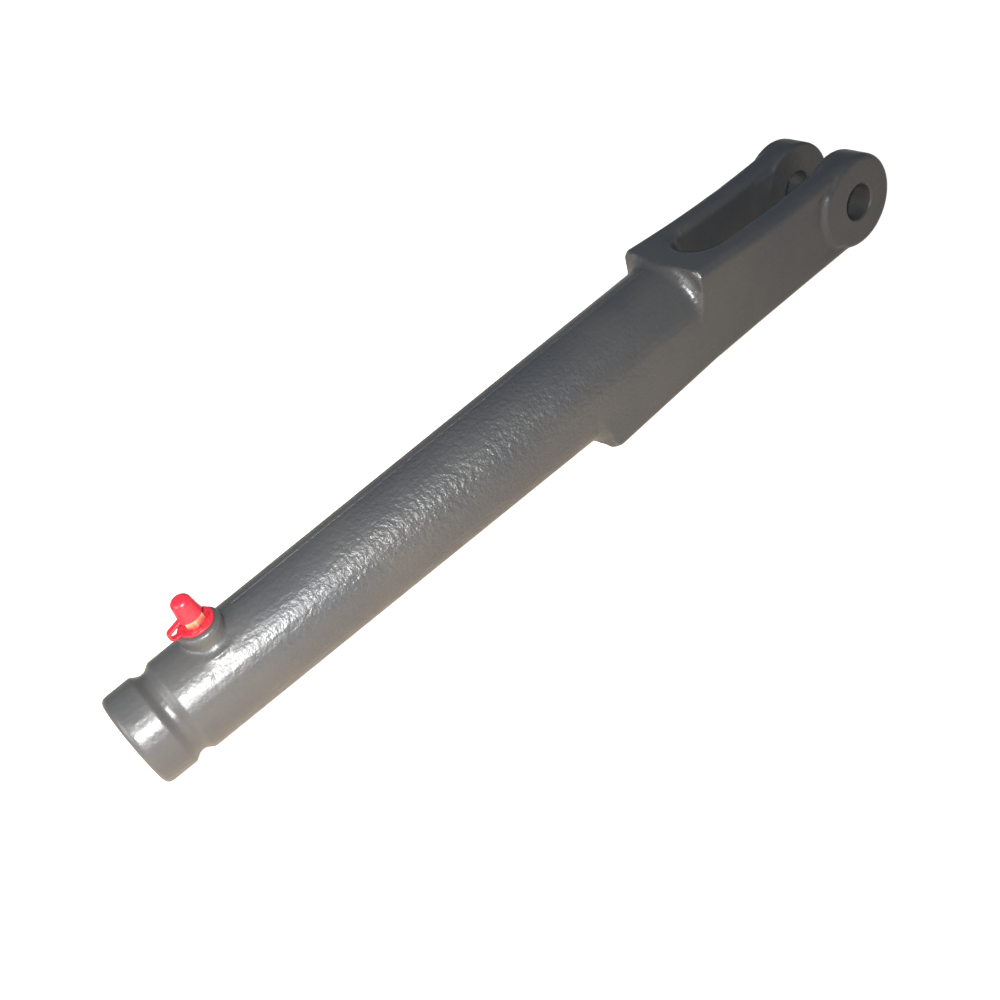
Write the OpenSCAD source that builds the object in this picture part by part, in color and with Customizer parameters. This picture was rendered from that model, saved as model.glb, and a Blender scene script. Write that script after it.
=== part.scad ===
// Tractor lift fork: a cast body with a tapped barrel, a square block and a
// two arm clevis, and a grease nipple with a tethered dust cap.
// Units are millimetres. The origin is the centre of the pin hole, +X runs
// from the open mouth towards the eyes, +Y runs along the pin, and +Z is up,
// on the side of the grease nipple.

/* [Barrel] */
// Distance from the open mouth to the centre of the pin hole
mouth_to_pin = 457.2; // [400:0.1:560]
// Barrel diameter at the open mouth
mouth_d = 47.6; // [44:0.1:54]
// Rounding of the rim at the open mouth
rim_r = 3; // [0.5:0.1:5]
// Diameter of the tapped bore, at half thread depth
bore_d = 26.2; // [20:0.1:32]
// Depth of the tapped bore, without its drill point
bore_depth = 230; // [120:1:250]
// Width of the lead-in chamfer at the mouth of the bore
bore_chamfer = 2; // [0.5:0.1:3]

/* [Dust boot groove] */
// Distance from the mouth to the middle of the groove
groove_pos = 20.6; // [14:0.1:30]
// Width of the groove at the surface of the barrel
groove_w = 10; // [6:0.1:14]
// Width of the floor of the groove
groove_floor_w = 3; // [1:0.1:5]
// Depth of the groove
groove_depth = 2.4; // [1:0.1:4]

/* [Block] */
// Width of the square block, which is also the barrel diameter at its root
block_w = 57; // [52:0.1:62]
// Distance from the pin centre to the upper shoulder
upper_shoulder = 115.2; // [108:0.1:130]
// Distance from the pin centre to the lower shoulder
lower_shoulder = 191; // [150:0.1:200]
// Height of the top face over the barrel axis at the upper shoulder
upper_h = 29.6; // [28.6:0.1:33]
// Depth of the bottom face under the barrel axis at the lower shoulder
lower_h = 29.8; // [28.6:0.1:34]
// Radius of the fillet between a shoulder and the barrel
shoulder_fillet = 7; // [3:0.1:9]
// Radius that rounds the outer corner of a shoulder
shoulder_round = 3.5; // [1:0.1:5]
// Radius that rounds the long edges of the block and arms
edge_r = 5; // [2:0.1:6.5]

/* [Arms] */
// Height of the arms above the barrel axis at their waist
waist_top = 24.5; // [21:0.1:24.6]
// Depth of the arms under the barrel axis at their waist
waist_low = 24.7; // [21:0.1:25]
// Distance from the pin centre to the waist of the top edges
waist_pos = 32; // [20:0.1:33]
// Distance from the pin centre to the waist of the bottom edges
low_waist_pos = 75; // [60:0.1:95]
// Width of the slot between the arms
slot_w = 28; // [24.6:0.1:32]
// Distance from the pin centre to the closed end of the slot
slot_len = 99; // [85:0.1:104]

/* [Eyes] */
// Outer diameter of the eyes
eye_d = 50.8; // [50.2:0.1:58]
// Diameter of the pin hole
pin_d = 19.3; // [16:0.1:26]
// Width over the outer faces of the eyes
eye_w = 61; // [58:0.1:68]
// Clear gap between the inner faces of the eyes
eye_gap = 24; // [18:0.1:24.5]
// Rounding of the outer rim of an eye
eye_round = 3.5; // [1:0.1:5]
// Rounding of the inner rim of an eye
eye_inner_round = 2; // [0.5:0.1:4]
// Width of the sloping bank that leads up to the inner face of an eye
bank_w = 15; // [6:0.1:20]
// Chamfer at both ends of the pin hole in each eye
pin_chamfer = 0.8; // [0.2:0.1:1.5]

/* [Nipple boss] */
// Distance from the mouth to the axis of the grease nipple
nipple_pos = 52.5; // [44:0.1:70]
// Diameter of the boss at its top
boss_d = 21.6; // [20:0.1:26]
// Height of the seat on the boss over the barrel axis
boss_h = 30.2; // [29:0.1:33]
// Rounding of the edge of the boss
boss_round = 2.2; // [0.5:0.1:3]
// Height of the straight side of the boss, down from its seat
boss_side = 5.2; // [4:0.1:6]
// Radius of the hollow foot of the boss
boss_foot_r = 4.5; // [2:0.1:5]
// Diameter of the tapped hole for the nipple
nipple_hole_d = 6.45; // [5:0.05:8]
// Depth of the tapped hole for the nipple
nipple_hole_depth = 9; // [7.5:0.1:12]
// Diameter of the drilled grease passage
passage_d = 3.5; // [2:0.1:4.5]

/* [Grease nipple] */
// Radial clearance of the nipple shank in its hole
shank_gap = 0.05; // [0.02:0.01:0.15]
// Length of the nipple shank below its seat
shank_len = 6.5; // [4:0.1:7]
// Diameter of the plain collar under the hexagon
collar_d = 8.4; // [7.6:0.1:8.6]
// Width of the hexagon across its flats
hex_af = 9; // [8.9:0.1:11]
// Height of the hexagon
hex_h = 3.8; // [3:0.1:5]
// Diameter of the stem over the hexagon
stem_d = 6.2; // [5.2:0.1:6.6]
// Diameter of the waist under the head of the nipple
neck_d = 4.6; // [4:0.1:5]
// Largest diameter of the head of the nipple
head_d = 6.5; // [6:0.1:7]
// Height of the nipple above its hexagon
head_h = 9.4; // [9:0.1:12]
// Diameter of the valve ball
ball_d = 2.4; // [1.8:0.1:2.6]
// Diameter of the chamber that holds the ball and its spring
chamber_d = 2.8; // [2.7:0.05:3.2]
// Diameter of the mouth that the ball closes
nipple_mouth_d = 1.7; // [1.2:0.1:1.75]
// Wire diameter of the spring
wire_d = 0.35; // [0.2:0.05:0.5]
// Length of the spring at rest
spring_len = 6; // [4:0.1:7]
// Number of turns of the spring
spring_turns = 6; // [3:1:8]

/* [Dust cap] */
// Thickness of the tether ring
ring_t = 1.4; // [0.8:0.1:2]
// Outer diameter of the tether ring
ring_d = 17.4; // [15:0.1:19.5]
// Radial clearance of the tether ring on the collar
ring_gap = 0.08; // [0.04:0.01:0.2]
// Clearance above and below the tether ring
ring_play = 0.1; // [0.05:0.01:0.3]
// Outer diameter of the cap at its open end
cap_d = 11.8; // [10.4:0.1:12.5]
// Outer diameter of the cap near its top
cap_top_d = 9.8; // [9.4:0.1:12]
// Rounding of the top of the cap
cap_round = 3; // [1:0.1:4]
// Radial clearance between the cap and the head of the nipple
cap_gap = 0.35; // [0.2:0.05:0.6]
// Thickness of the top of the cap
cap_top_t = 1.4; // [0.8:0.1:2.5]
// Clearance between the top of the nipple and the inside of the cap
cap_rest = 0.2; // [0.05:0.05:0.3]
// Height of the cap
cap_h = 10.7; // [8:0.1:10.9]
// Width of the tether strap
strap_w = 3.2; // [2:0.1:5]
// Thickness of the tether strap
strap_t = 1.3; // [0.6:0.1:1.4]
// Radius of the bend of the strap, at the middle of its thickness
bend_r = 2.2; // [1.6:0.1:2.6]
// Distance from the nipple axis to the outermost point of the strap
strap_reach = 13.2; // [12.6:0.1:16]
// Gap between the end of the strap and the cap
strap_gap = 0.25; // [0.1:0.05:0.4]

/* [Hidden] */
$fn = 96;
big_fn = 720;
over = 1;

root_r = block_w / 2;
mouth_r = mouth_d / 2;
barrel_len = mouth_to_pin - upper_shoulder;
mouth_x = -mouth_to_pin;
upper_x = -upper_shoulder;
lower_x = -lower_shoulder;
// the barrel ends a hair inside the faces of the block, so that they part cleanly
skin = 0.05;
taper = (root_r - skin - mouth_r) / barrel_len;
// radius of the barrel at a place along X, with the origin at the pin hole
function barrel_r(x) = mouth_r + taper * (x - mouth_x);

slot_r = slot_w / 2;
slot_x = -(slot_len - slot_r);
eye_r = eye_d / 2;
nipple_x = mouth_x + nipple_pos;

// top edge of the arms: one hollow arc from the shoulder down to the waist
top_dx = upper_shoulder - waist_pos;
top_dz = upper_h - waist_top;
top_arc_r = (top_dx * top_dx + top_dz * top_dz) / (2 * top_dz);
// slope of that arc at the closed end of the slot
slot_slope = asin((-slot_x - waist_pos) / top_arc_r);
slot_top = waist_top + top_arc_r * (1 - cos(slot_slope));
// bottom edge: a shallow hollow arc that ends just inside the eye, and before
// it a straight slope down to the lower shoulder
low_curve_r = low_waist_pos * low_waist_pos / (2 * (eye_r - 0.03 - waist_low));
function low_z(x) = waist_low + low_curve_r * (1 - cos(asin((-x - low_waist_pos) / low_curve_r)));
low_slope = atan((lower_h - low_z(upper_x) + skin) / (lower_shoulder - upper_shoulder));
// the sides of the lower block widen with the barrel
low_start = lower_x - shoulder_fillet;
low_start_r = barrel_r(low_start) - skin;
side_slope = atan((root_r - skin - low_start_r) / (upper_x - low_start));

seat_z = boss_h;
hex_z = seat_z + ring_t + 2 * ring_play;
stem_z = hex_z + hex_h;
nipple_top = stem_z + head_h;
cap_top = nipple_top + cap_rest + cap_top_t;
cap_z = cap_top - cap_h;
ball_top = nipple_top - 0.15;
ball_z = ball_top - ball_d / 2;
spring_top = ball_z - ball_d / 2;
spring_z = spring_top - spring_len;
strap_low = seat_z + ring_play + strap_t / 2;
strap_high = cap_z + strap_t / 2;
strap_flat = ring_d / 2 - 0.5;
bend_x = -(strap_reach - bend_r - strap_t / 2);
bend_z = strap_low + bend_r;
// the upper stretch of the strap leaves the bend on a tangent to the cap's rim
strap_dx = -cap_d / 2 - bend_x;
strap_dz = strap_high - bend_z;
strap_span = norm([strap_dx, strap_dz]);
strap_tilt = atan2(strap_dz, strap_dx) - asin(bend_r / strap_span);
strap_len = sqrt(strap_span * strap_span - bend_r * bend_r) + strap_w / 2;

// A bar along +X whose section is what rounds off an edge at the origin:
// the solid to be rounded lies on the -Y and -Z side of it.
module edge_bar(len, r) {
    difference() {
        translate([0, -r, -r]) cube([len, r + over, r + over]);
        translate([-over, -r, -r]) rotate([0, 90, 0]) cylinder(r = r, h = len + 2 * over);
    }
}

// Section of a rounding cut for an arc: X is the distance from the arc's
// centre, Y runs across the arms, and the solid lies on the +X side.
module rounding(r) {
    difference() {
        translate([-over, -over]) square([r + over, r + over]);
        translate([r, r]) circle(r = r);
    }
}

// All that lies above the hollow top edge of the arms, with both outer
// edges rounded.
module above_arms() {
    translate([-waist_pos, 0, waist_top + top_arc_r]) rotate([90, 0, 0])
        rotate_extrude($fn = big_fn) {
            translate([top_arc_r - 30, -root_r - 5]) square([30, block_w + 10]);
            for (s = [0, 1]) mirror([0, s])
                translate([top_arc_r, root_r]) mirror([0, 1]) rounding(edge_r);
        }
}

// Rounds the top edges of both arms along the slot.
module slot_edges_top() {
    intersection() {
        translate([-waist_pos, 0, waist_top + top_arc_r]) rotate([90, 0, 0])
            rotate_extrude($fn = big_fn) for (s = [0, 1]) mirror([0, s])
                translate([top_arc_r, slot_r]) rounding(edge_r);
        translate([slot_x, -root_r, 0]) cube([eye_r - slot_x, block_w, 2 * upper_h]);
    }
}

// All that lies under the hollow bottom edge of the arms, rounded in the same
// way.
module below_arms() {
    translate([-low_waist_pos, 0, -waist_low - low_curve_r]) rotate([90, 0, 0])
        rotate_extrude($fn = 2 * big_fn) {
            translate([low_curve_r - 30, -root_r - 5]) square([30, block_w + 10]);
            for (s = [0, 1]) mirror([0, s])
                translate([low_curve_r, root_r]) mirror([0, 1]) rounding(edge_r);
        }
}

// Rounds the bottom edges of both arms along the slot.
module slot_edges_low() {
    intersection() {
        translate([-low_waist_pos, 0, -waist_low - low_curve_r]) rotate([90, 0, 0])
            rotate_extrude($fn = 2 * big_fn) for (s = [0, 1]) mirror([0, s])
                translate([low_curve_r, slot_r]) rounding(edge_r);
        translate([slot_x, -root_r, -2 * lower_h]) cube([eye_r - slot_x, block_w, 2 * lower_h]);
    }
}

// The face of a shoulder is turned about the barrel axis: a hollow fillet out
// of the barrel, then a rounding over the corner. This is the space behind it.
module behind_shoulder(x) {
    h = shoulder_fillet;
    r = barrel_r(x - h) - skin;
    translate([x, 0, 0]) rotate([0, 90, 0]) {
        rotate_extrude() difference() {
            translate([0, -h]) square([r + h, h + 0.01]);
            translate([r + h, -h]) circle(r = h);
        }
        cylinder(r = r + h, h = shoulder_round);
        rotate_extrude() translate([r + h, shoulder_round]) intersection() {
            circle(r = shoulder_round);
            translate([0, -shoulder_round]) square([shoulder_round, shoulder_round]);
        }
        translate([0, 0, shoulder_round]) cylinder(r = 2 * root_r, h = -x - shoulder_round + over);
    }
}

// Upper half of the block, from the upper shoulder to the pin hole.
module upper_block() {
    intersection() {
        difference() {
            translate([upper_x - shoulder_fillet, -root_r, -over])
                cube([upper_shoulder + shoulder_fillet, block_w, upper_h + over]);
            for (s = [0, 1]) mirror([0, s, 0])
                translate([upper_x - shoulder_fillet - over, root_r, upper_h])
                    edge_bar(shoulder_fillet + over + 0.001, edge_r);
        }
        behind_shoulder(upper_x);
    }
}

// Both arms from the upper shoulder on, before the slot is cut.
module arms() {
    difference() {
        union() {
            upper_block();
            translate([upper_x, -root_r, -lower_h]) cube([upper_shoulder, block_w, lower_h]);
        }
        above_arms();
        below_arms();
    }
}

// Lower half of the block: its sides follow the taper of the barrel, and it
// ends inside the arms.
module lower_block() {
    end = min(upper_x + 10, -slot_len - edge_r - 1);
    side = root_r - skin;
    intersection() {
        difference() {
            translate([0, 0, -lower_h - 2]) linear_extrude(height = lower_h + 2)
                polygon([[low_start, -low_start_r], [upper_x, -side], [end, -side],
                         [end, side], [upper_x, side], [low_start, low_start_r]]);
            // the sloping bottom face, with both outer edges rounded
            translate([lower_x, 0, -lower_h]) rotate([0, -low_slope, 0]) {
                translate([-20, -2 * root_r, -20]) cube([lower_shoulder, 4 * root_r, 20]);
                for (s = [0, 1]) mirror([0, s, 0])
                    translate([-shoulder_fillet / cos(low_slope), low_start_r, 0])
                        rotate([0, 0, atan(tan(side_slope) * cos(low_slope))])
                            mirror([0, 0, 1]) translate([-10, 0, 0]) edge_bar(lower_shoulder, edge_r);
            }
        }
        behind_shoulder(lower_x);
    }
}

// One eye, turned about the pin axis, on the +Y side.
module eye() {
    half = eye_w / 2;
    inner = eye_gap / 2;
    rotate([-90, 0, 0]) rotate_extrude() {
        translate([0, inner]) square([eye_r - eye_round, half - inner]);
        translate([0, inner + eye_inner_round])
            square([eye_r, half - inner - eye_round - eye_inner_round]);
        translate([eye_r - eye_round, half - eye_round]) circle(r = eye_round);
        translate([0, inner]) square([eye_r - eye_inner_round, eye_inner_round + over]);
        translate([eye_r - eye_inner_round, inner + eye_inner_round]) circle(r = eye_inner_round);
    }
}

// The sloping bank that leads up to the inner face of an eye, on the +Y side.
module bank() {
    bank_h = (slot_w - eye_gap) / 2;
    intersection() {
        translate([0, eye_gap / 2, 0]) rotate([-90, 0, 0])
            cylinder(r1 = eye_r - eye_inner_round, r2 = eye_r + bank_w, h = bank_h + over / 2);
        translate([-eye_r - bank_w, 0, -waist_low + edge_r])
            cube([eye_r + bank_w, slot_w, waist_low + waist_top - 2 * edge_r]);
    }
}

// The slot between the arms, with its edges and its round closed end rounded.
module slot() {
    tall = upper_h + lower_h + 20;
    translate([slot_x, 0, -tall / 2]) cylinder(r = slot_r, h = tall);
    translate([slot_x, -slot_r, -tall / 2]) cube([eye_r - slot_x + over, slot_w, tall]);
    slot_edges_top();
    slot_edges_low();
    translate([slot_x, 0, slot_top]) rotate([0, slot_slope, 0]) lip();
    translate([slot_x, 0, -low_z(slot_x)]) mirror([0, 0, 1]) lip();
}

// Rounds the lip of the closed end of the slot, whose top face is at z = 0. It
// is a little wider than the rounding of the straight edges that it meets.
module lip() {
    r = edge_r + 0.4;
    side = slot_r + r + over;
    intersection() {
        rotate_extrude() difference() {
            translate([slot_r - 2, -r]) square([r + 2, r + 3]);
            translate([slot_r + r, -r]) circle(r = r);
        }
        translate([-side, -side, -r - over]) cube([side + 0.1, 2 * side, r + 5]);
    }
}

// The tapered barrel with its rounded rim and the groove for a dust boot.
module barrel() {
    difference() {
        translate([mouth_x, 0, 0]) rotate([0, 90, 0])
            cylinder(r1 = mouth_r, r2 = root_r - skin, h = barrel_len);
        translate([mouth_x, 0, 0]) rotate([0, 90, 0]) {
            rotate_extrude() difference() {
                translate([mouth_r - rim_r, -over]) square([rim_r + over, rim_r + over]);
                translate([mouth_r - rim_r, rim_r]) circle(r = rim_r);
            }
            floor_r = mouth_r + taper * groove_pos - groove_depth;
            lip_r = floor_r + groove_depth;
            translate([0, 0, groove_pos]) rotate_extrude()
                polygon([[floor_r, -groove_floor_w / 2], [floor_r, groove_floor_w / 2],
                         [lip_r, groove_w / 2], [lip_r + over, groove_w / 2 + over],
                         [lip_r + over, -groove_w / 2 - over], [lip_r, -groove_w / 2]]);
        }
    }
}

// The round boss that carries the nipple, flared where it leaves the barrel.
module nipple_boss() {
    r = boss_d / 2;
    foot_z = seat_z - boss_side;
    translate([nipple_x, 0, 0]) rotate_extrude() {
        square([r, seat_z - boss_round]);
        square([r - boss_round, seat_z]);
        translate([r - boss_round, seat_z - boss_round]) circle(r = boss_round);
        difference() {
            square([r + boss_foot_r, foot_z]);
            translate([r + boss_foot_r, foot_z]) circle(r = boss_foot_r);
        }
    }
}

module fork_body() color("dimgray") {
    difference() {
        union() {
            barrel();
            nipple_boss();
            lower_block();
            difference() {
                arms();
                slot();
            }
            for (s = [0, 1]) mirror([0, s, 0]) {
                eye();
                bank();
            }
        }
        bores();
    }
}

// The machined holes of the casting.
module bores() {
    // pin hole through both eyes, chamfered at each face
    rotate([90, 0, 0]) cylinder(d = pin_d, h = eye_w + 2 * over, center = true);
    for (s = [0, 1]) mirror([0, s, 0]) {
        translate([0, eye_w / 2 - pin_chamfer, 0]) rotate([-90, 0, 0])
            cylinder(d1 = pin_d, d2 = pin_d + 2 * (pin_chamfer + over), h = pin_chamfer + over);
        translate([0, eye_gap / 2 + pin_chamfer, 0]) rotate([90, 0, 0])
            cylinder(d1 = pin_d, d2 = pin_d + 2 * (pin_chamfer + over), h = pin_chamfer + over);
    }
    // tapped bore with its lead-in and its drill point
    translate([mouth_x, 0, 0]) rotate([0, 90, 0]) {
        translate([0, 0, -over]) cylinder(d = bore_d, h = bore_depth + over);
        translate([0, 0, -over]) cylinder(d1 = bore_d + 2 * (bore_chamfer + over), d2 = bore_d, h = bore_chamfer + over);
        translate([0, 0, bore_depth]) cylinder(d1 = bore_d, d2 = 0, h = bore_d / 2 / tan(59));
    }
    // tapped hole for the nipple and the grease passage under it
    translate([nipple_x, 0, seat_z - nipple_hole_depth]) cylinder(d = nipple_hole_d, h = nipple_hole_depth + over);
    translate([nipple_x, 0, bore_d / 4]) cylinder(d = passage_d, h = seat_z - nipple_hole_depth - bore_d / 4 + over);
}

module grease_nipple() color("gold") translate([nipple_x, 0, 0]) {
    shank_r = nipple_hole_d / 2 - shank_gap;
    difference() {
        union() {
            translate([0, 0, seat_z - shank_len]) cylinder(r = shank_r, h = shank_len + over);
            translate([0, 0, seat_z]) cylinder(d = collar_d, h = hex_z - seat_z + over);
            // the hexagon, with its corners turned off at both ends
            intersection() {
                translate([0, 0, hex_z]) rotate([0, 0, 30]) cylinder(d = hex_af / cos(30), h = hex_h, $fn = 6);
                translate([0, 0, hex_z - 3]) cylinder(r1 = hex_af / 2 - 2.2, r2 = hex_af / 2 + hex_h + 3, h = hex_h + 5.2);
                translate([0, 0, hex_z - 2.2]) cylinder(r1 = hex_af / 2 + hex_h + 3, r2 = hex_af / 2 - 2.2, h = hex_h + 5.2);
            }
            translate([0, 0, stem_z - over]) rotate_extrude()
                polygon([[0, 0], [stem_d / 2, 0], [stem_d / 2, over + head_h * 0.3],
                         [neck_d / 2, over + head_h * 0.42], [neck_d / 2, over + head_h * 0.5],
                         [head_d / 2, over + head_h * 0.64], [head_d / 2, over + head_h * 0.74],
                         [nipple_mouth_d / 2 + 0.8, over + head_h], [0, over + head_h]]);
        }
        // chamber for the ball and spring, narrow at both ends
        translate([0, 0, spring_z]) cylinder(d = chamber_d, h = ball_z - spring_z);
        translate([0, 0, ball_z]) cylinder(d1 = chamber_d, d2 = nipple_mouth_d, h = ball_d / 2 - 0.2);
        translate([0, 0, ball_z]) cylinder(d = nipple_mouth_d, h = ball_d + over);
        translate([0, 0, seat_z - shank_len - over]) cylinder(d = chamber_d - 2 * wire_d - 0.3, h = spring_z - seat_z + shank_len + 2 * over);
        translate([0, 0, nipple_top - 0.5]) cylinder(d1 = nipple_mouth_d - 0.01, d2 = nipple_mouth_d + 1, h = 0.51);
    }
}

module nipple_ball() color("silver") translate([nipple_x, 0, ball_z]) sphere(d = ball_d);

// A coil spring swept along its helix, with flat ground ends.
module nipple_spring() color("silver") translate([nipple_x, 0, 0]) {
    sides = 8;
    steps = 20;
    coil_r = (chamber_d - wire_d) / 2 - 0.08;
    turns = spring_turns;
    count = steps * turns;
    rise = spring_len - 0.04;
    ring = [for (i = [0 : count]) let (a = 360 * i / steps, z = spring_z + 0.02 + rise * i / count)
        [for (j = [0 : sides - 1]) let (b = 360 * j / sides, q = coil_r + wire_d / 2 * cos(b))
            [q * cos(a), q * sin(a), z + wire_d / 2 * sin(b)]]];
    points = [for (c = ring) for (p = c) p];
    faces = concat(
        [[for (j = [0 : sides - 1]) j]],
        [[for (j = [sides - 1 : -1 : 0]) count * sides + j]],
        [for (i = [0 : count - 1]) for (j = [0 : sides - 1])
            let (k = (j + 1) % sides)
            [i * sides + j, (i + 1) * sides + j, (i + 1) * sides + k, i * sides + k]]);
    intersection() {
        polyhedron(points = points, faces = faces);
        translate([0, 0, spring_z]) cylinder(d = chamber_d, h = spring_len);
    }
}

module tether_ring() color("tomato") translate([nipple_x, 0, seat_z + ring_play]) {
    difference() {
        cylinder(d = ring_d, h = ring_t);
        translate([0, 0, -over]) cylinder(r = collar_d / 2 + ring_gap, h = ring_t + 2 * over);
        // a flat on the rim, where the strap starts
        translate([-ring_d / 2 - over, -ring_d / 2, -over]) cube([ring_d / 2 + over - strap_flat, ring_d, ring_t + 2 * over]);
    }
}

// A flat strap in one plane: out from the ring, round a bend and slanting
// back up to the rim of the cap.
module tether_strap() color("tomato") translate([nipple_x, 0, 0]) {
    big = 2 * (bend_r + strap_t);
    translate([bend_x, -strap_w / 2, strap_low - strap_t / 2]) cube([-strap_flat - bend_x, strap_w, strap_t]);
    translate([bend_x, 0, bend_z]) rotate([90, 0, 0]) translate([0, 0, -strap_w / 2])
        difference() {
            cylinder(r = bend_r + strap_t / 2, h = strap_w);
            translate([0, 0, -over]) cylinder(r = bend_r - strap_t / 2, h = strap_w + 2 * over);
            translate([0, -big, -over]) cube([big, big, strap_w + 2 * over]);
            rotate([0, 0, strap_tilt]) translate([0, -big, -over]) cube([big, 2 * big, strap_w + 2 * over]);
        }
    difference() {
        translate([bend_x, 0, bend_z]) rotate([0, -strap_tilt, 0])
            translate([0, -strap_w / 2, bend_r - strap_t / 2]) cube([strap_len, strap_w, strap_t]);
        translate([0, 0, cap_z - cap_d / 2]) cylinder(r = cap_d / 2 + strap_gap, h = cap_d);
    }
}

module dust_cap() color("red") translate([nipple_x, 0, 0]) {
    difference() {
        translate([0, 0, cap_z]) cylinder(d1 = cap_d, d2 = cap_top_d, h = cap_h);
        // the top edge is turned to a round
        translate([0, 0, cap_top - cap_round])
            rotate_extrude() translate([cap_top_d / 2 - cap_round, 0]) difference() {
                square([cap_round + over, cap_round + over]);
                circle(r = cap_round);
            }
        translate([0, 0, cap_z - over]) cylinder(r = head_d / 2 + cap_gap, h = cap_h - cap_top_t + over);
    }
}

fork_body();
grease_nipple();
nipple_ball();
nipple_spring();
tether_ring();
tether_strap();
dust_cap();
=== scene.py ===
# %% [markdown]
# # A tractor lift fork
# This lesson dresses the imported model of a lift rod's lower fork. The fork is
# one iron casting: a tapped barrel, a square block and two arms with eyes. A
# grease nipple with a tethered red cap stands on the barrel.
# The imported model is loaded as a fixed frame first, because it says where each
# piece is and how it moves. Everything here is in metres in that same frame:
# the origin is the centre of the pin hole, +X runs from the open mouth of the
# barrel to the eyes, +Y runs along the pin and +Z is up.

# %% Load the frame
import math

import bmesh
import bpy
import numpy as np
from mathutils import Matrix, Vector


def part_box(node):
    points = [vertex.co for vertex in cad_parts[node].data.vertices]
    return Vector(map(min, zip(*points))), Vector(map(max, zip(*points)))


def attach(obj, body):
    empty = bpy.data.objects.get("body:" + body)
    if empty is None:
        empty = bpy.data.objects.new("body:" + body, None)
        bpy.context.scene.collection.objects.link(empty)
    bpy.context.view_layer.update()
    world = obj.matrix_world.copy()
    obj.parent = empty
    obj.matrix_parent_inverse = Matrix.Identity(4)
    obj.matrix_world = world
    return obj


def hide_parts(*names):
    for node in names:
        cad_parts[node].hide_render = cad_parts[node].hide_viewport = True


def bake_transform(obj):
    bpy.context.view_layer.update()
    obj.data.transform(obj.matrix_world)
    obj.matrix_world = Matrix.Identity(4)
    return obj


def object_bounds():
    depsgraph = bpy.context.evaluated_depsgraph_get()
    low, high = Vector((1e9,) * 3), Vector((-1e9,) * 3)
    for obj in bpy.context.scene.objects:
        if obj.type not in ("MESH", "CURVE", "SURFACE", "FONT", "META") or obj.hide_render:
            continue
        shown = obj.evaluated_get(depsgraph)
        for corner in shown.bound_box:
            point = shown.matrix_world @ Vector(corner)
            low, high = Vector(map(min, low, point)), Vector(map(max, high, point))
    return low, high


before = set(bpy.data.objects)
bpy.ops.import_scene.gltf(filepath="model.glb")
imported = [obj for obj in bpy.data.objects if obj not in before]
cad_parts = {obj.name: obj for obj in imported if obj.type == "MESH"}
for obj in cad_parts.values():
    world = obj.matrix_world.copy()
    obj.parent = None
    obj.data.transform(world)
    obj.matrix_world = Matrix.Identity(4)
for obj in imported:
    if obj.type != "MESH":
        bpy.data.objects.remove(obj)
cad_low, cad_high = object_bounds()
print("frame loaded:", sorted(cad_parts))

# %% [markdown]
# ## The camera
# The photograph was taken from close by, so its perspective is strong: the
# mouth of the barrel looks wide and the eyes look small. The place, the turn
# and the lens were found by fitting known circles and edges of the fork to the
# picture. A lens of 41 mm on a 36 mm sensor is what that fit gave.

# %% Place the camera
MM = 0.001
camera_data = bpy.data.cameras.new("camera")
camera_data.sensor_width = 36.0
camera_data.lens = 41.10
camera_data.clip_start = 0.01
camera = bpy.data.objects.new("camera", camera_data)
camera.location = (-420.4 * MM, -418.4 * MM, 337.2 * MM)
camera.rotation_euler = [math.radians(a) for a in (48.2799, 19.4289, -38.6240)]
bpy.context.scene.collection.objects.link(camera)
bpy.context.scene.camera = camera
print("camera at", tuple(round(v, 4) for v in camera.location))

# %% [markdown]
# ## Floor and light
# The photograph shows the fork on white, lit by one small flash beside the
# lens and by a dim cool room. The white comes from Light Path: the floor and
# the far end of the room glow in full for rays from the camera only. Mirrored
# and passing rays get a quarter of that glow, because satin paint that mirrors
# all of it turns pale. For the rest the floor is a pale warm table. It throws
# the flash back on the lower side of the barrel, as in the photograph, and it
# keeps the shadow of the fork.

# %% Colour settings
bpy.context.scene.view_settings.view_transform = "Standard"
print("view transform:", bpy.context.scene.view_settings.view_transform)


# %% Small helpers
def link(obj):
    """Puts an object in the scene and returns it."""
    bpy.context.scene.collection.objects.link(obj)
    return obj


def new_material(name):
    """A material with an empty node tree and its output."""
    made = bpy.data.materials.new(name)
    made.use_nodes = True
    made.node_tree.nodes.clear()
    output = made.node_tree.nodes.new("ShaderNodeOutputMaterial")
    return made, made.node_tree, output


# %% Rays that see the white background
MIRROR_SHARE = 0.25
WHITE = (1.0, 1.0, 1.0, 1.0)


def background_rays(tree):
    """1 for a camera ray, a share for a glossy or transmission ray, else 0."""
    paths = tree.nodes.new("ShaderNodeLightPath")
    total = paths.outputs["Is Camera Ray"]
    for name in ("Is Glossy Ray", "Is Transmission Ray"):
        add = tree.nodes.new("ShaderNodeMath")
        add.operation = "MULTIPLY_ADD"
        add.use_clamp = True
        add.inputs[1].default_value = MIRROR_SHARE
        tree.links.new(paths.outputs[name], add.inputs[0])
        tree.links.new(total, add.inputs[2])
        total = add.outputs[0]
    return total


# %% The floor's material
WARM_TABLE = (0.78, 0.63, 0.48, 1.0)
FLOOR_GLOW = 0.92
floor_material, tree, output = new_material("pale_floor")
matt = tree.nodes.new("ShaderNodeBsdfDiffuse")
matt.inputs["Color"].default_value = WARM_TABLE
white = tree.nodes.new("ShaderNodeEmission")
white.inputs["Color"].default_value = WHITE
glow = tree.nodes.new("ShaderNodeMath")
glow.operation = "MULTIPLY"
glow.inputs[1].default_value = FLOOR_GLOW
both = tree.nodes.new("ShaderNodeAddShader")
tree.links.new(background_rays(tree), glow.inputs[0])
tree.links.new(glow.outputs[0], white.inputs["Strength"])
tree.links.new(matt.outputs[0], both.inputs[0])
tree.links.new(white.outputs[0], both.inputs[1])
tree.links.new(both.outputs[0], output.inputs["Surface"])

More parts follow.
